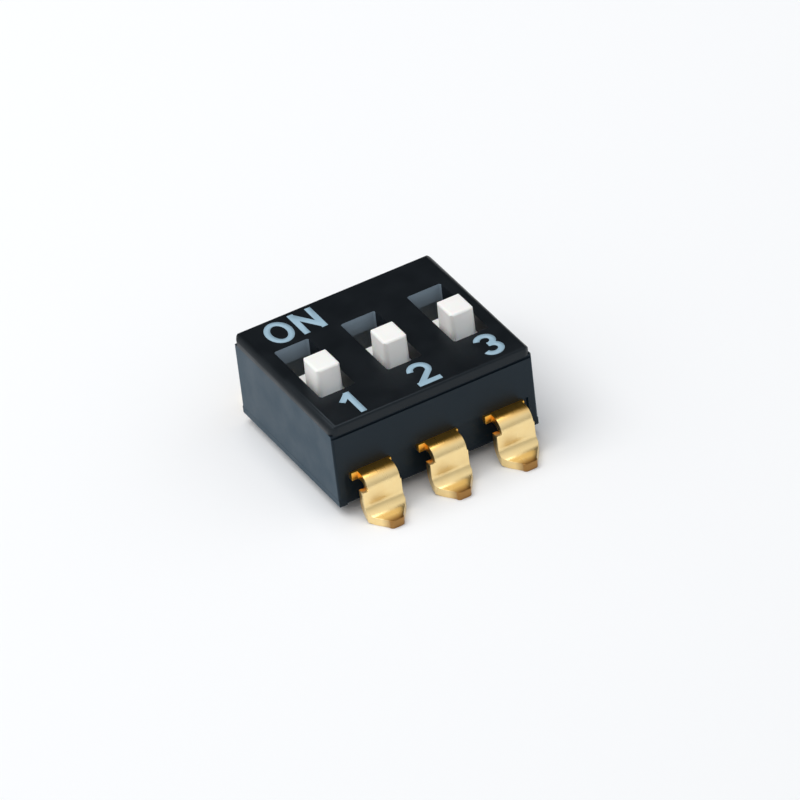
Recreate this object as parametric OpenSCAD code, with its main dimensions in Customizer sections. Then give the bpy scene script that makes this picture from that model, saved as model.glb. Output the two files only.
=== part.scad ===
// Three position slide switch in a surface mount dual in line package.
// Millimetres, +Z up, Z = 0 on the plane the solder feet stand on.
// X runs along the row of positions, the sliders move along Y, and -Y is the numbered OFF side.

/* [Row] */
// Distance between neighbouring positions
pitch = 2.54; // [2.3:0.01:3]
// Distance from an outer position's centre line to the end of the body
end_margin = 1.26; // [1.15:0.01:1.8]

/* [Body] */
// Width of the body, across the slots' length
body_w = 6.6; // [6.2:0.1:9]
// Height of the body, from its underside to the top of the cover
body_h = 3; // [2.8:0.05:4]
// Height of the body's underside above the solder plane
standoff = 0.58; // [0.3:0.02:0.9]
// Radius of the upright corners of the base
base_corner_r = 0.08; // [0.04:0.01:0.2]

/* [Cover] */
// Thickness of the cover plate
cover_t = 0.36; // [0.32:0.01:0.6]
// Radius along the cover's two end edges
cover_end_r = 0.28; // [0.1:0.01:0.3]
// Radius along the cover's front and rear edges
cover_side_r = 0.1; // [0.05:0.01:0.25]
// Radius of the cover's corners seen from above
cover_corner_r = 0.28; // [0.1:0.01:0.4]
// Height of the shadow groove between cover and base
seam_h = 0.12; // [0.08:0.01:0.25]
// Depth of that groove
seam_d = 0.06; // [0.04:0.01:0.2]
// Width of a slot
slot_w = 1.32; // [1.2:0.02:1.5]
// Length of a slot
slot_l = 3.2; // [2.9:0.02:3.4]
// Depth of the pads round the slots, which reach down into the cells
pad_t = 0.32; // [0.2:0.02:0.4]
// Clearance between a pad and its cell
pad_gap = 0.05; // [0.03:0.01:0.08]
// Radius of the slot's corners
slot_corner_r = 0.1; // [0.05:0.01:0.25]
// Diameter of the pegs that hold the cover in the base
peg_d = 0.6; // [0.4:0.02:0.7]
// Length of those pegs
peg_l = 0.9; // [0.5:0.05:1.2]
// Radial clearance round a peg
peg_gap = 0.01; // [0.005:0.005:0.03]

/* [Slider] */
// Travel of a slider from OFF to ON
travel = 1.22; // [1:0.02:1.4]
// Width of the thumb knob at its top
knob_w = 0.9; // [0.6:0.02:1]
// Length of the thumb knob at its top, along the travel
knob_l = 1.02; // [0.7:0.02:1.3]
// Height of the thumb knob above the cover
knob_rise = 0.68; // [0.2:0.02:1]
// Amount by which each side of the knob's foot stands out past its top
knob_flare = 0.02; // [0.01:0.01:0.08]
// Radius of the knob's upright corners at its top
knob_corner_r = 0.16; // [0.1:0.01:0.25]
// Radius of the knob's top edges
knob_edge_r = 0.12; // [0.06:0.01:0.2]
// Width of the slider's plate under the cover
plate_w = 1.8; // [1.7:0.02:1.9]
// Length of that plate
plate_l = 2.8; // [2.4:0.02:3]
// Running clearance beside and above a slider
slide_gap = 0.05; // [0.03:0.005:0.08]
// Clearance left at each end of the travel
stop_gap = 0.04; // [0.02:0.005:0.08]

/* [Terminals] */
// Width of a terminal's root and of the ears at the wall
term_w = 1.5; // [1.2:0.02:1.6]
// Width of the arm and of the foot's wide end
arm_w = 1.44; // [1.1:0.02:1.5]
// Width of the waist at the shoulder bend
waist_w = 1.2; // [0.8:0.02:1.26]
// Offset of the waist from a terminal's centre line
waist_shift = 0.08; // [0:0.01:0.1]
// Height of the waist below a terminal's upper face
waist_drop = 0.46; // [0.36:0.02:0.7]
// Distance that the ears stand out of the wall
ear_out = 0.1; // [0.04:0.01:0.2]
// Thickness of the terminal strip
term_t = 0.3; // [0.2:0.01:0.36]
// Height of a terminal's upper face above the body's underside
term_top = 1.02; // [0.9:0.02:1.2]
// Distance from the body's wall to the outer face of the upright arm
term_out = 0.74; // [0.66:0.02:1]
// Outer radius of the shoulder bend
shoulder_r = 0.45; // [0.4:0.01:0.6]
// Inner radius of the bend into the foot
ankle_r = 0.38; // [0.2:0.01:0.42]
// Distance from the body's wall to the toe
foot_reach = 1.62; // [1.5:0.02:2]
// Width of the toe
toe_w = 0.56; // [0.4:0.02:1]
// Length over which the foot narrows to the toe
toe_taper = 0.75; // [0.5:0.05:0.8]
// Radius of the toe's corners
toe_r = 0.14; // [0.05:0.01:0.18]
// Width of the fixed contact inside the base
contact_w = 1.1; // [0.9:0.05:1.2]
// Length of the full width root held in the base's wall
root_l = 0.9; // [0.6:0.05:1.2]
// Insulating gap between the front and rear fixed contacts
contact_gap = 0.45; // [0.3:0.05:0.6]
// Distance of the front contact's end past the centre line
contact_lead = 0.3; // [0.2:0.02:0.4]

/* [Base underside] */
// Depth of the step in the wall below the terminals
step_d = 0.35; // [0.2:0.05:0.6]
// Width of the full depth column left at each end
step_column = 0.3; // [0.2:0.02:0.36]

/* [Moving contact] */
// Width of the bridging spring
bridge_w = 0.9; // [0.6:0.05:1]
// Thickness of its strip
bridge_t = 0.12; // [0.08:0.01:0.16]
// Distance between its two contact points
bridge_span = 1.3; // [1.2:0.02:1.4]
// Length of its flat back
bridge_back = 0.64; // [0.5:0.02:0.8]
// Radius of its contact points
bridge_tip_r = 0.11; // [0.09:0.01:0.14]
// Length of the turned up tail past each contact point
bridge_tail = 0.15; // [0.1:0.01:0.18]
// Room for the spring between the base's floor and the slider's plate
spring_room = 0.47; // [0.4:0.01:0.6]
// Depth of the spring's pocket in the slider
pocket_h = 0.42; // [0.3:0.01:0.5]
// Clearance beside the spring in its pocket
pocket_gap = 0.1; // [0.05:0.01:0.14]
// Diameter of the stake that holds the spring
stake_d = 0.26; // [0.2:0.01:0.3]
// Radial clearance round the stake
stake_gap = 0.01; // [0.005:0.005:0.03]
// Height of the stake's end below the spring
stake_end = 0.05; // [0.03:0.01:0.1]
// Clearance under a contact point
contact_lift = 0.02; // [0.01:0.005:0.03]

/* [Hidden] */

$fn = 48;
positions = 3;
cut_past = 0.2;
knee_lap = 0.05;
body_l = (positions - 1) * pitch + 2 * end_margin;
body_top = standoff + body_h;
cover_under = body_top - cover_t;
floor_top = standoff + term_top;
term_under = floor_top - term_t;
cell_w = plate_w + 2 * slide_gap;
cell_l = plate_l + travel + 2 * stop_gap;
peg_y = (cell_l + body_w) / 4;
plate_top = cover_under - pad_t - slide_gap;
plate_under = floor_top + spring_room;
knob_h = body_top + knob_rise - plate_top;
pocket_roof = plate_under + pocket_h;
pocket_l = bridge_back + 2 * bridge_t + 2 * pocket_gap;
front_inset = body_w / 2 + contact_lead;
rear_inset = body_w / 2 - contact_lead - contact_gap;

// Centre line of a position, counted from 1
function position_x(i) = (i - (positions + 1) / 2) * pitch;

// Rectangle centred on the origin, with round corners
module round_rect(w, l, r) {
    square([w - 2 * r, l], center = true);
    square([w, l - 2 * r], center = true);
    for (x = [-1, 1], y = [-1, 1])
        translate([x * (w / 2 - r), y * (l / 2 - r)]) circle(r);
}

// Upright outline standing on the first axis, with round top corners
module round_top(w, h, r) {
    translate([-w / 2, 0]) square([w, h - r]);
    translate([r - w / 2, 0]) square([w - 2 * r, h]);
    for (x = [-1, 1])
        translate([x * (w / 2 - r), h - r]) circle(r);
}

// Block on the XY plane whose upright corners and top edges are rounded
module soft_block(w, l, h, corner_r, end_r, side_r) {
    intersection() {
        linear_extrude(h) round_rect(w, l, corner_r);
        translate([0, l / 2, 0]) rotate([90, 0, 0]) linear_extrude(l) round_top(w, h, end_r);
        translate([-w / 2, 0, 0]) rotate([90, 0, 90]) linear_extrude(w) round_top(l, h, side_r);
    }
}

// Upright outline whose foot stands out by flare at each side, with round top corners
module flared_top(w, h, flare, r) {
    lean = norm([h, flare]);
    arc_x = w / 2 - r * (lean - flare) / h;
    side = [arc_x + r * h / lean, h - r + r * flare / lean];
    polygon([
        [-w / 2 - flare, 0], [w / 2 + flare, 0],
        side, [arc_x, h], [-arc_x, h], [-side[0], side[1]]
    ]);
    for (x = [-1, 1])
        translate([x * arc_x, h - r]) circle(r);
}

// Block whose foot stands out by flare on every side, with round corners and top edges
module flared_block(w, l, h, flare, corner_r, edge_r) {
    inner_w = w - 2 * corner_r;
    inner_l = l - 2 * corner_r;
    intersection() {
        union() {
            for (x = [-1, 1], y = [-1, 1])
                translate([x * inner_w / 2, y * inner_l / 2, 0])
                    cylinder(r1 = corner_r + flare, r2 = corner_r, h = h);
            flared_bar(w, inner_l, h, flare);
            rotate(90) flared_bar(l, inner_w, h, flare);
        }
        translate([0, l, 0]) rotate([90, 0, 0]) linear_extrude(2 * l) flared_top(w, h, flare, edge_r);
        translate([-w, 0, 0]) rotate([90, 0, 90]) linear_extrude(2 * w) flared_top(l, h, flare, edge_r);
    }
}

// Bar along Y whose foot stands out by flare at each side
module flared_bar(w, l, h, flare) {
    translate([0, l / 2, 0]) rotate([90, 0, 0]) linear_extrude(l)
        polygon([[-w / 2 - flare, 0], [w / 2 + flare, 0], [w / 2, h], [-w / 2, h]]);
}

// Flat cover plate with a slot for each knob, and pads and pegs on its underside
module cover() {
    color([0.10, 0.12, 0.14]) difference() {
        union() {
            translate([0, 0, cover_under])
                soft_block(body_l, body_w, cover_t, cover_corner_r, cover_end_r, cover_side_r);
            for (i = [1 : positions])
                translate([position_x(i), 0, cover_under - pad_t]) linear_extrude(pad_t + cover_t / 2)
                    square([cell_w - 2 * pad_gap, cell_l - 2 * pad_gap], center = true);
            for (x = [-1, 1], y = [-1, 1])
                translate([x * pitch / 2, y * peg_y, cover_under - peg_l])
                    cylinder(d = peg_d, h = peg_l + cover_t / 2);
        }
        for (i = [1 : positions])
            translate([position_x(i), 0, cover_under - pad_t - cut_past])
                linear_extrude(pad_t + cover_t + 2 * cut_past) round_rect(slot_w, slot_l, slot_corner_r);
    }
}

// Moulded base: a cell for each slider, stepped walls below the terminals
module base() {
    color([0.17, 0.19, 0.21]) difference() {
        translate([0, 0, standoff])
            linear_extrude(body_h - cover_t) round_rect(body_l, body_w, base_corner_r);
        for (i = [1 : positions]) {
            translate([position_x(i) - cell_w / 2, -cell_l / 2, floor_top])
                cube([cell_w, cell_l, body_h]);
            translate([position_x(i), 0, term_under]) {
                terminal_blank(front_inset, term_t);
                rotate(180) terminal_blank(rear_inset, term_t);
            }
        }
        for (y = [-1, 1]) {
            translate([0, y * body_w / 2, cover_under - seam_h]) seam_cut();
            translate([0, y * body_w / 2, standoff - cut_past]) step_cut();
            for (x = [-1, 1])
                translate([x * pitch / 2, y * peg_y, cover_under - peg_l - peg_gap])
                    cylinder(r = peg_d / 2 + peg_gap, h = peg_l + cover_t);
        }
    }
}

// Shadow groove along one long wall, centred on the wall's face
module seam_cut() {
    translate([-body_l / 2 - cut_past, -seam_d, 0])
        cube([body_l + 2 * cut_past, 2 * seam_d, seam_h + cut_past]);
}

// Step along one long wall below the terminals, centred on the wall's face
module step_cut() {
    step_l = body_l - 2 * step_column;
    translate([-step_l / 2, -step_d, 0]) cube([step_l, 2 * step_d, term_top + cut_past]);
}

// Slider: thumb knob on a plate that carries the bridging spring
module slider(i) {
    color([0.96, 0.96, 0.94]) translate([position_x(i), -travel / 2, 0]) {
        difference() {
            union() {
                translate([-plate_w / 2, -plate_l / 2, plate_under])
                    cube([plate_w, plate_l, plate_top - plate_under]);
                translate([0, 0, plate_top])
                    flared_block(knob_w, knob_l, knob_h, knob_flare, knob_corner_r, knob_edge_r);
            }
            translate([-bridge_w / 2 - pocket_gap, -pocket_l / 2, plate_under - cut_past])
                cube([bridge_w + 2 * pocket_gap, pocket_l, pocket_h + cut_past]);
        }
        translate([0, 0, pocket_roof - bridge_t - stake_end])
            cylinder(d = stake_d, h = bridge_t + stake_end + cut_past);
    }
}

// Strip of given width and thickness that follows points [y, z]
module ribbon(points, w, t) {
    for (k = [1 : len(points) - 1]) {
        step = points[k] - points[k - 1];
        translate([-w / 2, points[k - 1][0], points[k - 1][1]])
            rotate([atan2(step[1], step[0]), 0, 0])
            translate([0, 0, -t / 2]) cube([w, norm(step), t]);
    }
    for (p = points)
        translate([-w / 2, p[0], p[1]]) rotate([0, 90, 0]) cylinder(d = t, h = w);
}

// Bridging spring: a bowed strip with two round contact points, staked under the slider
module bridge_contact(i) {
    back_z = pocket_roof - bridge_t / 2;
    tip_z = floor_top + contact_lift + bridge_tip_r;
    tip_y = bridge_span / 2;
    tail_z = (tip_z + plate_under) / 2 - bridge_t / 4;
    leg = [[0, back_z], [bridge_back / 2, back_z], [tip_y, tip_z], [tip_y + bridge_tail, tail_z]];
    color([0.80, 0.58, 0.34]) translate([position_x(i), -travel / 2, 0]) difference() {
        for (turn = [0, 180]) rotate(turn) {
            ribbon(leg, bridge_w, bridge_t);
            translate([-bridge_w / 2, tip_y, tip_z]) rotate([0, 90, 0])
                cylinder(r = bridge_tip_r, h = bridge_w);
        }
        translate([0, 0, back_z - bridge_t])
            cylinder(r = stake_d / 2 + stake_gap, h = 2 * bridge_t);
    }
}

// Each child outline raised by itself to height h
module raised(h) {
    for (k = [0 : $children - 1])
        linear_extrude(h) children(k);
}

// Flat blank of a front terminal: fixed contact, root with ears, arm and tapered foot
module terminal_blank(inset, h) {
    wall = -body_w / 2;
    toe = wall - foot_reach;
    taper_start = toe + toe_taper;
    raised(h) {
        translate([-contact_w / 2, wall]) square([contact_w, inset]);
        translate([-term_w / 2, wall - ear_out]) square([term_w, root_l + ear_out]);
        translate([-arm_w / 2, taper_start]) square([arm_w, wall - taper_start]);
        polygon([
            [-arm_w / 2, taper_start], [arm_w / 2, taper_start],
            [toe_w / 2, toe + toe_r], [-toe_w / 2, toe + toe_r]
        ]);
        translate([toe_r - toe_w / 2, toe]) square([toe_w - 2 * toe_r, 2 * toe_r]);
        translate([toe_r - toe_w / 2, toe + toe_r]) circle(toe_r);
        translate([toe_w / 2 - toe_r, toe + toe_r]) circle(toe_r);
    }
}

// Rectangle from the origin whose far corner is round
module one_round(w, h, r) {
    square([w, h - r]);
    square([w - r, h]);
    translate([w - r, h - r]) intersection() {
        circle(r);
        translate([-knee_lap, -knee_lap]) square(2 * r);
    }
}

// Strip of thickness t with one bend: [w, h] and outer_r are those of its outer side
module bent_strip(w, h, outer_r, t) {
    difference() {
        one_round(w, h, outer_r);
        translate([-cut_past, -cut_past]) one_round(w - t + cut_past, h - t + cut_past, outer_r - t);
    }
}

// Formed strip as wide as the terminal: Y is the distance out from the wall
module terminal_form(inset) {
    knee = (floor_top - shoulder_r + term_t + ankle_r) / 2;
    raised(term_w) {
        translate([-inset, knee - knee_lap])
            bent_strip(inset + term_out, floor_top - knee + knee_lap, shoulder_r, term_t);
        translate([foot_reach, knee + knee_lap]) rotate(180)
            bent_strip(foot_reach - term_out + term_t, knee + knee_lap, ankle_r + term_t, term_t);
    }
}

// Notch beside the waist of a front terminal, one on each side of the shoulder bend
module waist_cut() {
    toe = -body_w / 2 - foot_reach;
    for (x = [-1, 1])
        translate([waist_shift + x * (waist_w + term_w) / 2, toe, floor_top - waist_drop])
            translate([-term_w / 2, 0, 0]) cube([term_w, foot_reach - ear_out, body_h]);
}

// Gull wing terminal on the front wall, stamped in one with its fixed contact
module terminal(inset) {
    color([0.90, 0.74, 0.42]) difference() {
        intersection() {
            terminal_blank(inset, body_top);
            translate([term_w / 2, -body_w / 2, 0]) rotate([90, 0, -90]) terminal_form(inset);
        }
        waist_cut();
    }
}

module front_terminal(i) {
    translate([position_x(i), 0, 0]) terminal(front_inset);
}

module rear_terminal(i) {
    translate([position_x(i), 0, 0]) rotate(180) terminal(rear_inset);
}

cover();
base();
for (i = [1 : positions]) {
    slider(i);
    bridge_contact(i);
    front_terminal(i);
    rear_terminal(i);
}
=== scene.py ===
import math

import bmesh
import bpy
from mathutils import Matrix, Vector


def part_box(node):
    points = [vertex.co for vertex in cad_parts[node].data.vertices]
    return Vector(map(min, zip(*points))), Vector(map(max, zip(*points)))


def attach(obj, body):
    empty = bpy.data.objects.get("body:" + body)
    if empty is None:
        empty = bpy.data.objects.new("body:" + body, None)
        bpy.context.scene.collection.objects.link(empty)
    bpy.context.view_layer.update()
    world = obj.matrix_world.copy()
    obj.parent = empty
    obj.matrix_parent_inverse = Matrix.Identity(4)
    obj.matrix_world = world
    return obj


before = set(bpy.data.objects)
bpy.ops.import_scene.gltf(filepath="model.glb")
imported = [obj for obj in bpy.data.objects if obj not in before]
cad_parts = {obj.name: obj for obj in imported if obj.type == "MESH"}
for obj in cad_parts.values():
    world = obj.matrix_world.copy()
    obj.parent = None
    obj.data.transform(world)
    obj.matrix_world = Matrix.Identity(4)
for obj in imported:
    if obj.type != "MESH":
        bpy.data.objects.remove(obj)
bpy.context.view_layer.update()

MM = 0.001
POSITIONS = (1, 2, 3)
COVER_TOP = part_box("cover")[1].z


# Node helpers

def add_node(tree, kind, inputs=None, **settings):
    """A node with its settings, and each input linked to a socket or set to a value."""
    node = tree.nodes.new(kind)
    for name, value in settings.items():
        setattr(node, name, value)
    for key, value in (inputs or {}).items():
        if isinstance(value, bpy.types.NodeSocket):
            tree.links.new(value, node.inputs[key])
        else:
            node.inputs[key].default_value = value
    return node


def math_node(tree, operation, first, second=0.0, third=0.0):
    return add_node(
        tree, "ShaderNodeMath", {0: first, 1: second, 2: third}, operation=operation
    ).outputs[0]


def new_group(name, kind, inputs, outputs):
    """An empty node group with named sockets, given as (name, type, default)."""
    tree = bpy.data.node_groups.new(name, kind)
    for socket_name, socket_type, default in inputs:
        socket = tree.interface.new_socket(socket_name, in_out="INPUT", socket_type=socket_type)
        if default is not None:
            socket.default_value = default
    for socket_name, socket_type in outputs:
        tree.interface.new_socket(socket_name, in_out="OUTPUT", socket_type=socket_type)
    return tree, tree.nodes.new("NodeGroupInput"), tree.nodes.new("NodeGroupOutput")


def group_node(tree, group, values):
    node = tree.nodes.new("ShaderNodeGroup")
    node.node_tree = group
    for name, value in values.items():
        node.inputs[name].default_value = value
    return node


# Shared finishes, with lengths in millimetres

GRAIN = 0.05
GRAIN_DEPTH = 0.004
MOTTLE = 0.9
NOISE_LOW = 0.3
NOISE_HIGH = 0.7
# Painted light: grey that stands in for the light the end walls of the slots and cells catch
SLOT_PAINTED_LIGHT_GREY = (0.26, 0.335, 0.41)
# Distance from the middle to the end walls of the slots, and of the cells below them
SLOT_WALL = 1.63
CELL_WALL = 2.06
# Room round those walls that the painted light grey takes in
SLOT_BAND = 0.09
SLOT_BOTTOM = 1.8
SLOT_TOP = 3.55
SLOT_ROW = 3.6
ROLL_LINE = 0.03
ROLL_STRETCH = 0.06
ROLL_DEPTH = 0.002
PATCH_SHARE = 0.1


def moulded_grain_group():
    """Fine spark eroded grain of a mould, and the broader flow mottle of the plastic."""
    tree, source, sink = new_group(
        "moulded_grain",
        "ShaderNodeTree",
        [("Grain mm", "NodeSocketFloat", GRAIN), ("Mottle mm", "NodeSocketFloat", MOTTLE)],
        [("Height", "NodeSocketFloat"), ("Mottle", "NodeSocketFloat")],
    )
    place = add_node(tree, "ShaderNodeTexCoord").outputs["Object"]
    grain_scale = math_node(tree, "DIVIDE", 1.0 / MM, source.outputs["Grain mm"])
    mottle_scale = math_node(tree, "DIVIDE", 1.0 / MM, source.outputs["Mottle mm"])
    grain = add_node(
        tree, "ShaderNodeTexNoise", {"Vector": place, "Scale": grain_scale, "Detail": 2.0}
    )
    mottle = add_node(
        tree, "ShaderNodeTexNoise", {"Vector": place, "Scale": mottle_scale, "Detail": 4.0}
    )
    tree.links.new(grain.outputs["Fac"], sink.inputs["Height"])
    tree.links.new(mottle.outputs["Fac"], sink.inputs["Mottle"])
    return tree


def slot_end_light_group():
    """Mask of the end walls of the slots, or of the cells below them, where light is painted on as
    a lighter grey.
    """
    tree, source, sink = new_group(
        "slot_end_painted_light",
        "ShaderNodeTree",
        [
            ("Wall mm", "NodeSocketFloat", SLOT_WALL),
            ("Band mm", "NodeSocketFloat", SLOT_BAND),
            ("Bottom mm", "NodeSocketFloat", SLOT_BOTTOM),
            ("Top mm", "NodeSocketFloat", SLOT_TOP),
        ],
        [("Mask", "NodeSocketFloat")],
    )
    place = add_node(tree, "ShaderNodeTexCoord").outputs["Object"]
    in_mm = add_node(
        tree, "ShaderNodeVectorMath", {0: place, "Scale": 1.0 / MM}, operation="SCALE"
    )
    axes = add_node(tree, "ShaderNodeSeparateXYZ", {0: in_mm.outputs[0]})
    reach = math_node(tree, "ABSOLUTE", axes.outputs["Y"])
    near_wall = math_node(
        tree, "COMPARE", reach, source.outputs["Wall mm"], source.outputs["Band mm"]
    )
    below_top = math_node(tree, "LESS_THAN", axes.outputs["Z"], source.outputs["Top mm"])
    above_bottom = math_node(tree, "GREATER_THAN", axes.outputs["Z"], source.outputs["Bottom mm"])
    along_row = math_node(tree, "ABSOLUTE", axes.outputs["X"])
    inside = math_node(tree, "LESS_THAN", along_row, SLOT_ROW)
    level = math_node(tree, "MULTIPLY", below_top, above_bottom)
    wall = math_node(tree, "MULTIPLY", near_wall, level)
    tree.links.new(math_node(tree, "MULTIPLY", wall, inside), sink.inputs["Mask"])
    return tree


def rolled_strip_group():
    """Fine lines along the rolling direction of a metal strip, with broader patches."""
    tree, source, sink = new_group(
        "rolled_strip",
        "ShaderNodeTree",
        [("Line mm", "NodeSocketFloat", ROLL_LINE), ("Stretch", "NodeSocketFloat", ROLL_STRETCH)],
        [("Lines", "NodeSocketFloat"), ("Patches", "NodeSocketFloat")],
    )
    place = add_node(tree, "ShaderNodeTexCoord").outputs["Object"]
    stretch = add_node(
        tree,
        "ShaderNodeCombineXYZ",
        {"X": 1.0, "Y": source.outputs["Stretch"], "Z": source.outputs["Stretch"]},
    )
    along = add_node(
        tree,
        "ShaderNodeVectorMath",
        {0: place, 1: stretch.outputs[0]},
        operation="MULTIPLY",
    )
    line_scale = math_node(tree, "DIVIDE", 1.0 / MM, source.outputs["Line mm"])
    patch_scale = math_node(tree, "MULTIPLY", line_scale, PATCH_SHARE)
    lines = add_node(
        tree,
        "ShaderNodeTexNoise",
        {"Vector": along.outputs[0], "Scale": line_scale, "Detail": 3.0},
    )
    patches = add_node(
        tree, "ShaderNodeTexNoise", {"Vector": place, "Scale": patch_scale, "Detail": 3.0}
    )
    tree.links.new(lines.outputs["Fac"], sink.inputs["Lines"])
    tree.links.new(patches.outputs["Fac"], sink.inputs["Patches"])
    return tree


MOULDED_GRAIN = moulded_grain_group()
# Mask for the painted light on the slot end walls
SLOT_END_PAINTED_LIGHT = slot_end_light_group()
ROLLED_STRIP = rolled_strip_group()


def new_material(name):
    """A material, its node tree and its shader."""
    material = bpy.data.materials.new(name)
    material.use_nodes = True
    shader = material.node_tree.nodes["Principled BSDF"]
    return material, material.node_tree, shader


def mix_color(tree, mask, first, second):
    """Colour that goes from first to second with the mask; either may be a socket."""
    start, end = (
        color if isinstance(color, bpy.types.NodeSocket) else (*color, 1.0)
        for color in (first, second)
    )
    mix = add_node(
        tree, "ShaderNodeMix", {"Factor": mask, "A": start, "B": end}, data_type="RGBA"
    )
    return mix.outputs["Result"]


def vary_roughness(tree, shader, noise, smooth, rough):
    """Roughness that follows a noise over the middle of its range."""
    spread = add_node(
        tree,
        "ShaderNodeMapRange",
        {
            "Value": noise,
            "From Min": NOISE_LOW,
            "From Max": NOISE_HIGH,
            "To Min": smooth,
            "To Max": rough,
        },
    )
    tree.links.new(spread.outputs["Result"], shader.inputs["Roughness"])


def add_bump(tree, shader, height, strength, depth_mm):
    bump = add_node(
        tree,
        "ShaderNodeBump",
        {"Strength": strength, "Distance": depth_mm * MM, "Height": height},
    )
    tree.links.new(bump.outputs["Normal"], shader.inputs["Normal"])


def moulded_plastic(name, dark, light, rough, bump_strength, grain_mm=GRAIN, painted_light_wall_mm=None):
    """Mottled and grained plastic, with painted light, a lighter grey, on the slot end walls where
    a wall's place is given.
    """
    material, tree, shader = new_material(name)
    grain = group_node(tree, MOULDED_GRAIN, {"Grain mm": grain_mm, "Mottle mm": MOTTLE})
    color = mix_color(tree, grain.outputs["Mottle"], dark, light)
    if painted_light_wall_mm:
        # Painted light: the end walls are lightened to grey where light falls on them
        mask = group_node(tree, SLOT_END_PAINTED_LIGHT, {"Wall mm": painted_light_wall_mm}).outputs["Mask"]
        color = mix_color(tree, mask, color, SLOT_PAINTED_LIGHT_GREY)
    tree.links.new(color, shader.inputs["Base Color"])
    vary_roughness(tree, shader, grain.outputs["Mottle"], *rough)
    add_bump(tree, shader, grain.outputs["Height"], bump_strength, GRAIN_DEPTH)
    return material, shader


def plated_strip(name, dark, light, rough, bump_strength, painted_shades=()):
    """Rolled and plated metal strip; each painted shade is a mask function and the colour it
    gives.
    """
    material, tree, shader = new_material(name)
    strip = group_node(tree, ROLLED_STRIP, {"Line mm": ROLL_LINE, "Stretch": ROLL_STRETCH})
    shader.inputs["Metallic"].default_value = 1.0
    color = mix_color(tree, strip.outputs["Patches"], dark, light)
    for mask, tint in painted_shades:
        color = mix_color(tree, mask(tree), color, tint)
    tree.links.new(color, shader.inputs["Base Color"])
    vary_roughness(tree, shader, strip.outputs["Lines"], *rough)
    add_bump(tree, shader, strip.outputs["Lines"], bump_strength, ROLL_DEPTH)
    return material


# Plastics

BLACK_ROUGH = (0.30, 0.42)
BLACK_BUMP = 0.4
COOL_TINT = (0.72, 0.88, 1.0, 1.0)
BLUE_SHEEN = (0.15, 0.6, 1.0, 1.0)


def cover_black():
    material, shader = moulded_plastic(
        "cover_black",
        dark=(0.0035, 0.0048, 0.0065),
        light=(0.0055, 0.0070, 0.0090),
        rough=BLACK_ROUGH,
        bump_strength=BLACK_BUMP,
        # Painted light grey on the end walls of the slots
        painted_light_wall_mm=SLOT_WALL,
    )
    shader.inputs["Specular IOR Level"].default_value = 0.29
    shader.inputs["Specular Tint"].default_value = COOL_TINT
    return material


def base_black():
    material, shader = moulded_plastic(
        "base_black",
        dark=(0.0030, 0.0062, 0.0100),
        light=(0.0050, 0.0085, 0.0130),
        rough=BLACK_ROUGH,
        bump_strength=BLACK_BUMP,
        # Painted light grey on the end walls of the cells
        painted_light_wall_mm=CELL_WALL,
    )
    shader.inputs["Specular IOR Level"].default_value = 0.25
    shader.inputs["Specular Tint"].default_value = COOL_TINT
    shader.inputs["Sheen Weight"].default_value = 0.25
    shader.inputs["Sheen Roughness"].default_value = 0.4
    shader.inputs["Sheen Tint"].default_value = BLUE_SHEEN
    return material


def slider_white():
    material, shader = moulded_plastic(
        "slider_white",
        dark=(0.89, 0.885, 0.86),
        light=(0.93, 0.925, 0.90),
        rough=(0.38, 0.5),
        bump_strength=0.3,
    )
    shader.inputs["Subsurface Weight"].default_value = 0.15
    shader.inputs["Subsurface Scale"].default_value = 0.15 * MM
    return material


# Painted shade on the terminals, by their distance from the middle of the body

WALL_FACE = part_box("base")[1].y
TOE_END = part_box("rear_terminal_1")[1].y
# Where the painted shade on the toe ends begins and where it is full
TOE_SHADE_START = TOE_END - 0.35 * MM
TOE_SHADE_FULL = TOE_END - 0.06 * MM
SHELF_FULL = WALL_FACE + 0.36 * MM
SHELF_FADE = WALL_FACE + 0.62 * MM
# Painted shade: deep amber that stands in for the black wall reflected in the gold next to the
# body
SHELF_PAINTED_SHADE = (0.98, 0.52, 0.09)
# Painted shade: brown that stands in for the dark reflections on the tops and ends of the toes
TOE_PAINTED_SHADE = (0.36, 0.19, 0.06)


def reach_mask(tree, start, full):
    """Mask by the distance from the middle along Y: 0 at start, 1 at full and beyond it."""
    place = add_node(tree, "ShaderNodeTexCoord").outputs["Object"]
    axes = add_node(tree, "ShaderNodeSeparateXYZ", {0: place})
    reach = math_node(tree, "ABSOLUTE", axes.outputs["Y"])
    edge = add_node(
        tree, "ShaderNodeMapRange", {"Value": reach, "From Min": start, "From Max": full}
    )
    return edge.outputs["Result"]


def toe_painted_shade_mask(tree):
    """Mask of the ends of the toes, up to where the strip was cut off, that painted shade turns
    brown.
    """
    return reach_mask(tree, TOE_SHADE_START, TOE_SHADE_FULL)


def shelf_painted_shade_mask(tree):
    """Mask of each terminal from its inner end to the first bend outside the wall, where painted
    shade deepens the gold to amber.
    """
    return reach_mask(tree, SHELF_FADE, SHELF_FULL)


# Metals and ink

def gold_plating():
    return plated_strip(
        "gold_plating",
        dark=(0.95, 0.71, 0.33),
        light=(1.0, 0.79, 0.41),
        rough=(0.27, 0.37),
        bump_strength=0.08,
        # Painted shade on the gold: amber next to the body, brown on the toe ends
        painted_shades=[(shelf_painted_shade_mask, SHELF_PAINTED_SHADE), (toe_painted_shade_mask, TOE_PAINTED_SHADE)],
    )


def spring_bronze():
    return plated_strip(
        "spring_bronze",
        dark=(0.72, 0.46, 0.26),
        light=(0.80, 0.54, 0.32),
        rough=(0.2, 0.32),
        bump_strength=0.3,
    )


def print_ink():
    material, _ = moulded_plastic(
        "print_ink",
        dark=(0.28, 0.43, 0.53),
        light=(0.34, 0.49, 0.60),
        rough=(0.45, 0.6),
        bump_strength=0.4,
        grain_mm=0.06,
    )
    return material


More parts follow.
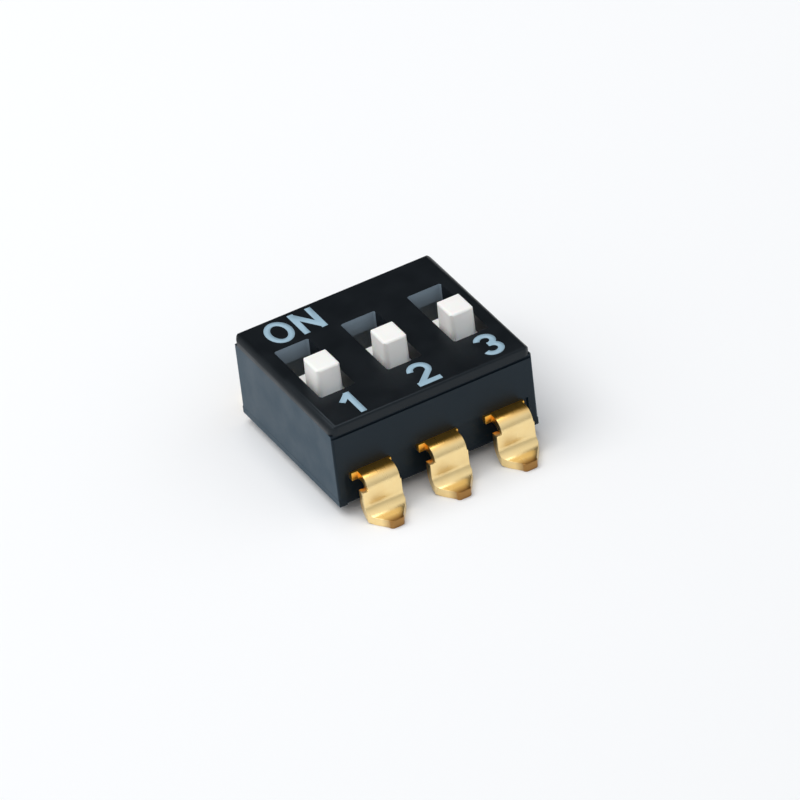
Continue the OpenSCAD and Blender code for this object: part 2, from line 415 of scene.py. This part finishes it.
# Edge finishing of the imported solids

def shade_smooth_tree():
    tree, source, sink = new_group(
        "shade_smooth",
        "GeometryNodeTree",
        [("Geometry", "NodeSocketGeometry", None)],
        [("Geometry", "NodeSocketGeometry")],
    )
    smooth = add_node(tree, "GeometryNodeSetShadeSmooth", {"Geometry": source.outputs[0]})
    tree.links.new(smooth.outputs[0], sink.inputs[0])
    return tree


SHADE_SMOOTH = shade_smooth_tree()
WELD_MM = 0.0005
FLAT_ANGLE = math.radians(1.0)
EDGE_ANGLE = math.radians(35.0)
EDGE_SEGMENTS = 3


def ease_edges(piece, width_mm):
    """Weld the solid's triangles, round its sharp edges and smooth the shading over them."""
    weld = piece.modifiers.new("weld", "WELD")
    weld.merge_threshold = WELD_MM * MM
    flat = piece.modifiers.new("flat_faces", "DECIMATE")
    flat.decimate_type = "DISSOLVE"
    flat.angle_limit = FLAT_ANGLE
    bevel = piece.modifiers.new("eased_edges", "BEVEL")
    bevel.width = width_mm * MM
    bevel.segments = EDGE_SEGMENTS
    bevel.limit_method = "ANGLE"
    bevel.angle_limit = EDGE_ANGLE
    smooth = piece.modifiers.new("smooth", "NODES")
    smooth.node_group = SHADE_SMOOTH
    normals = piece.modifiers.new("normals", "WEIGHTED_NORMAL")
    normals.keep_sharp = True


def dress(node, material, edge_mm):
    """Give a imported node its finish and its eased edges."""
    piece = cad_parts[node]
    piece.data.materials.clear()
    piece.data.materials.append(material)
    ease_edges(piece, edge_mm)


# Lower walls between the corner columns, and the skirt below them, in millimetres

COLUMN = 0.3
STEP_DEPTH = 0.35
STEP_HEIGHT = 1.02
SET_BACK = 0.08
WALL_SUNK = 0.05
WALL_EDGE = 0.03
WALL_EDGE_SEGMENTS = 2
SKIRT_DROP = 0.22
SKIRT_LAP = 0.07
SKIRT_PROUD = 0.003


def add_skirt(build, low, high):
    """Foot of the base: its plan with the corner columns, carried on below the underside."""
    end = high.x + SKIRT_PROUD * MM
    side = high.y + SKIRT_PROUD * MM
    wall = side - SET_BACK * MM
    column = high.x - COLUMN * MM
    half = [
        (end, side),
        (column, side),
        (column, wall),
        (-column, wall),
        (-column, side),
        (-end, side),
    ]
    outline = half + [(-x, -y) for x, y in half]
    bottom = low.z - SKIRT_DROP * MM
    face = build.faces.new([build.verts.new((x, y, bottom)) for x, y in outline])
    grown = bmesh.ops.extrude_face_region(build, geom=[face])["geom"]
    top = [part for part in grown if isinstance(part, bmesh.types.BMVert)]
    bmesh.ops.translate(build, verts=top, vec=(0.0, 0.0, (SKIRT_DROP + SKIRT_LAP) * MM))


def lower_walls(plastic):
    """Black walls that close the step under both long sides, and the skirt they stand on."""
    low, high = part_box("base")
    half_length = high.x - COLUMN * MM
    inner = high.y - (STEP_DEPTH + WALL_SUNK) * MM
    outer = high.y - SET_BACK * MM
    middle = Vector((0.0, (inner + outer) / 2, low.z + STEP_HEIGHT / 2 * MM))
    size = Vector((2 * half_length, outer - inner, STEP_HEIGHT * MM))
    build = bmesh.new()
    for side in (-1, 1):
        place = Matrix.Translation((middle.x, side * middle.y, middle.z))
        bmesh.ops.create_cube(build, size=1.0, matrix=place @ Matrix.Diagonal((*size, 1.0)))
    add_skirt(build, low, high)
    bmesh.ops.recalc_face_normals(build, faces=build.faces[:])
    bmesh.ops.bevel(
        build,
        geom=build.edges[:],
        offset=WALL_EDGE * MM,
        segments=WALL_EDGE_SEGMENTS,
        affect="EDGES",
        profile=0.5,
    )
    mesh = bpy.data.meshes.new("lower_walls")
    build.to_mesh(mesh)
    build.free()
    mesh.materials.append(plastic)
    walls = bpy.data.objects.new("lower_walls", mesh)
    bpy.context.scene.collection.objects.link(walls)
    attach(walls, "housing")


# Printed marks, in millimetres

INK_THICK = 0.012
INK_SUNK = 0.004
STROKE = 0.22
CAP_HEIGHT = 1.26
ARC_STEP = 10.0


def arc(center, radius_x, radius_y, start, end):
    """Points along an ellipse from one angle to another, in degrees."""
    count = max(2, round(abs(end - start) / ARC_STEP))
    angles = [math.radians(start + (end - start) * k / count) for k in range(count + 1)]
    return [
        (center[0] + radius_x * math.cos(a), center[1] + radius_y * math.sin(a)) for a in angles
    ]


def mark_strokes():
    """Centre lines of each printed mark about its own middle, in millimetres."""
    reach = CAP_HEIGHT / 2
    inner = reach - STROKE / 2
    round_half = 0.375
    stem = 0.335
    one_stem = 0.06
    flag_start = 0.03
    flag_end = -0.30
    flag_drop = 0.32
    two_r = 0.31
    two_heel = -0.32
    two_foot = 0.43
    upper_r = 0.255
    lower_r = inner - upper_r
    flare = 0.02
    return {
        "O": [arc((0, 0), round_half, inner, 0, 360)],
        "N": [
            [(-stem, -reach), (-stem, reach)],
            [(stem, -reach), (stem, reach)],
            [(-stem, inner), (stem, -inner)],
        ],
        "1": [
            [(one_stem, -reach), (one_stem, reach)],
            [(flag_start, inner), (flag_end, inner - flag_drop)],
        ],
        "2": [
            arc((0.0, inner - two_r), two_r, two_r, 175, -35) + [(two_heel, -inner)],
            [(-two_foot, -inner), (two_foot, -inner)],
        ],
        "3": [
            arc((-flare, inner - upper_r), upper_r + flare, upper_r, 165, -95),
            arc((0.0, lower_r - inner), lower_r + flare, lower_r, 95, -165),
        ],
    }


MARK_PLACES = {
    "O": (-2.51, 2.43),
    "N": (-1.43, 2.44),
    "1": (-2.46, -2.47),
    "2": (0.16, -2.45),
    "3": (2.73, -2.42),
}


def print_tree(ink):
    """Ink laid along centre lines: a flat ribbon of given width and thickness, made one piece."""
    tree, source, sink = new_group(
        "printed_strokes",
        "GeometryNodeTree",
        [
            ("Geometry", "NodeSocketGeometry", None),
            ("Stroke", "NodeSocketFloat", STROKE * MM),
            ("Thickness", "NodeSocketFloat", INK_THICK * MM),
        ],
        [("Geometry", "NodeSocketGeometry")],
    )
    nib = add_node(
        tree,
        "GeometryNodeCurvePrimitiveQuadrilateral",
        {"Width": source.outputs["Stroke"], "Height": source.outputs["Thickness"]},
    )
    upright = add_node(
        tree, "GeometryNodeSetCurveNormal", {"Curve": source.outputs["Geometry"]}, mode="Z_UP"
    )
    ribbon = add_node(
        tree,
        "GeometryNodeCurveToMesh",
        {"Curve": upright.outputs[0], "Profile Curve": nib.outputs[0], "Fill Caps": True},
    )
    joined = add_node(
        tree,
        "GeometryNodeMeshBoolean",
        {"Self Intersection": True},
        operation="UNION",
        solver="EXACT",
    )
    tree.links.new(ribbon.outputs[0], joined.inputs["Mesh 2"])
    realized = add_node(tree, "GeometryNodeRealizeInstances", {"Geometry": joined.outputs["Mesh"]})
    inked = add_node(
        tree, "GeometryNodeSetMaterial", {"Geometry": realized.outputs[0], "Material": ink}
    )
    tree.links.new(inked.outputs[0], sink.inputs[0])
    return tree


def stroke_curves():
    """All centre lines as one curve object at the ink's mid height."""
    curve = bpy.data.curves.new("printed_marks", "CURVE")
    curve.dimensions = "3D"
    height = COVER_TOP + (INK_THICK / 2 - INK_SUNK) * MM
    for mark, strokes in mark_strokes().items():
        place = MARK_PLACES[mark]
        for points in strokes:
            closed = (Vector(points[0]) - Vector(points[-1])).length < WELD_MM
            points = points[:-1] if closed else points
            spline = curve.splines.new("POLY")
            spline.points.add(len(points) - 1)
            spline.use_cyclic_u = closed
            for point, (x, y) in zip(spline.points, points):
                point.co = ((place[0] + x) * MM, (place[1] + y) * MM, height, 1.0)
    return curve


def printed_marks(ink):
    """Marks on the cover, as one mesh of ink."""
    lines = bpy.data.objects.new("mark_lines", stroke_curves())
    bpy.context.scene.collection.objects.link(lines)
    lines.modifiers.new("print", "NODES").node_group = print_tree(ink)
    depsgraph = bpy.context.evaluated_depsgraph_get()
    mesh = bpy.data.meshes.new_from_object(lines.evaluated_get(depsgraph))
    bpy.data.objects.remove(lines)
    marks = bpy.data.objects.new("printed_marks", mesh)
    bpy.context.scene.collection.objects.link(marks)
    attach(marks, "housing")


# Camera, floor and light

def camera():
    """Camera at the photograph's angle, fitted to the edges of the body."""
    azimuth = math.radians(-25.7794)
    elevation = math.radians(36.1893)
    roll = math.radians(-6.9321)
    distance = 251.58 * MM
    target = Vector((-0.2714, -1.4442, 2.08)) * MM
    back = Vector(
        (
            math.sin(azimuth) * math.cos(elevation),
            -math.cos(azimuth) * math.cos(elevation),
            math.sin(elevation),
        )
    )
    side = Vector((math.cos(azimuth), math.sin(azimuth), 0.0))
    up = back.cross(side)
    right = side * math.cos(roll) + up * math.sin(roll)
    top = up * math.cos(roll) - side * math.sin(roll)
    data = bpy.data.cameras.new("photo_camera")
    data.lens = 343.64
    data.sensor_width = 36.0
    data.clip_start = 1.0 * MM
    data.clip_end = 2.0
    piece = bpy.data.objects.new("photo_camera", data)
    turn = Matrix((right, top, back)).transposed().to_4x4()
    piece.matrix_world = Matrix.Translation(target + back * distance) @ turn
    bpy.context.scene.collection.objects.link(piece)
    bpy.context.scene.camera = piece


def floor():
    """Pale paper under the object."""
    reach = 0.8
    mesh = bpy.data.meshes.new("floor")
    corners = [(-reach, -reach, 0), (reach, -reach, 0), (reach, reach, 0), (-reach, reach, 0)]
    mesh.from_pydata(corners, [], [(0, 1, 2, 3)])
    material, _, shader = new_material("paper_floor")
    shader.inputs["Base Color"].default_value = (0.93, 0.938, 0.95, 1.0)
    shader.inputs["Roughness"].default_value = 0.8
    shader.inputs["Specular IOR Level"].default_value = 0.2
    mesh.materials.append(material)
    piece = bpy.data.objects.new("floor", mesh)
    bpy.context.scene.collection.objects.link(piece)


HORIZON_LEVEL = 0.38
OVERHEAD_LEVEL = 1.0
TENT_WHITE = (0.98, 0.99, 1.0, 1.0)
DARK_SHARE = 0.08
DARK_SIDE = (0.36, 0.73, 0.59)
DARK_RIM = math.cos(math.radians(60.0))
DARK_CORE = math.cos(math.radians(26.0))
LAMP_PLACE = (-60, 60, 225)
LAMP_SIZE = (260, 150)
LAMP_WATTS = 0.37


def studio_world():
    """White tent, brighter overhead, with a soft dark opening behind the object."""
    world = bpy.data.worlds.new("studio")
    world.use_nodes = True
    tree = world.node_tree
    background = tree.nodes["Background"]
    direction = add_node(tree, "ShaderNodeTexCoord").outputs["Generated"]
    axes = add_node(tree, "ShaderNodeSeparateXYZ", {0: direction})
    height = add_node(
        tree,
        "ShaderNodeMapRange",
        {"Value": axes.outputs["Z"], "To Min": HORIZON_LEVEL, "To Max": OVERHEAD_LEVEL},
    )
    toward = add_node(
        tree, "ShaderNodeVectorMath", {0: direction, 1: DARK_SIDE}, operation="DOT_PRODUCT"
    )
    opening = add_node(
        tree,
        "ShaderNodeMapRange",
        {
            "Value": toward.outputs["Value"],
            "From Min": DARK_RIM,
            "From Max": DARK_CORE,
            "To Min": 1.0,
            "To Max": DARK_SHARE,
        },
        interpolation_type="SMOOTHSTEP",
    )
    level = math_node(tree, "MULTIPLY", height.outputs["Result"], opening.outputs["Result"])
    tree.links.new(level, background.inputs["Strength"])
    background.inputs["Color"].default_value = TENT_WHITE
    bpy.context.scene.world = world


def soft_lamp(name, place_mm, size_mm, watts):
    """Flat lamp that faces the origin; its size is given along X and along Y."""
    data = bpy.data.lights.new(name, "AREA")
    data.shape = "RECTANGLE"
    data.size = size_mm[0] * MM
    data.size_y = size_mm[1] * MM
    data.energy = watts
    lamp = bpy.data.objects.new(name, data)
    lamp.location = Vector(place_mm) * MM
    lamp.rotation_mode = "QUATERNION"
    lamp.rotation_quaternion = Vector((0.0, 0.0, 1.0)).rotation_difference(lamp.location)
    bpy.context.scene.collection.objects.link(lamp)


def studio():
    camera()
    floor()
    studio_world()
    soft_lamp("top_lamp", LAMP_PLACE, LAMP_SIZE, LAMP_WATTS)
    bpy.context.scene.view_settings.view_transform = "Standard"


# Eased edges in millimetres, and all the pieces

PLASTIC_EDGE = 0.03
SPRING_EDGE = 0.02
STRIP_EDGE = 0.04


def dress_all():
    """Finish of every piece, and the walls that ride with the base."""
    gold = gold_plating()
    bronze = spring_bronze()
    white = slider_white()
    plastic = base_black()
    dress("cover", cover_black(), PLASTIC_EDGE)
    dress("base", plastic, PLASTIC_EDGE)
    lower_walls(plastic)
    for i in POSITIONS:
        dress(f"slider_{i}", white, PLASTIC_EDGE)
        dress(f"bridge_contact_{i}", bronze, SPRING_EDGE)
        dress(f"front_terminal_{i}", gold, STRIP_EDGE)
        dress(f"rear_terminal_{i}", gold, STRIP_EDGE)


studio()
dress_all()
printed_marks(print_ink())
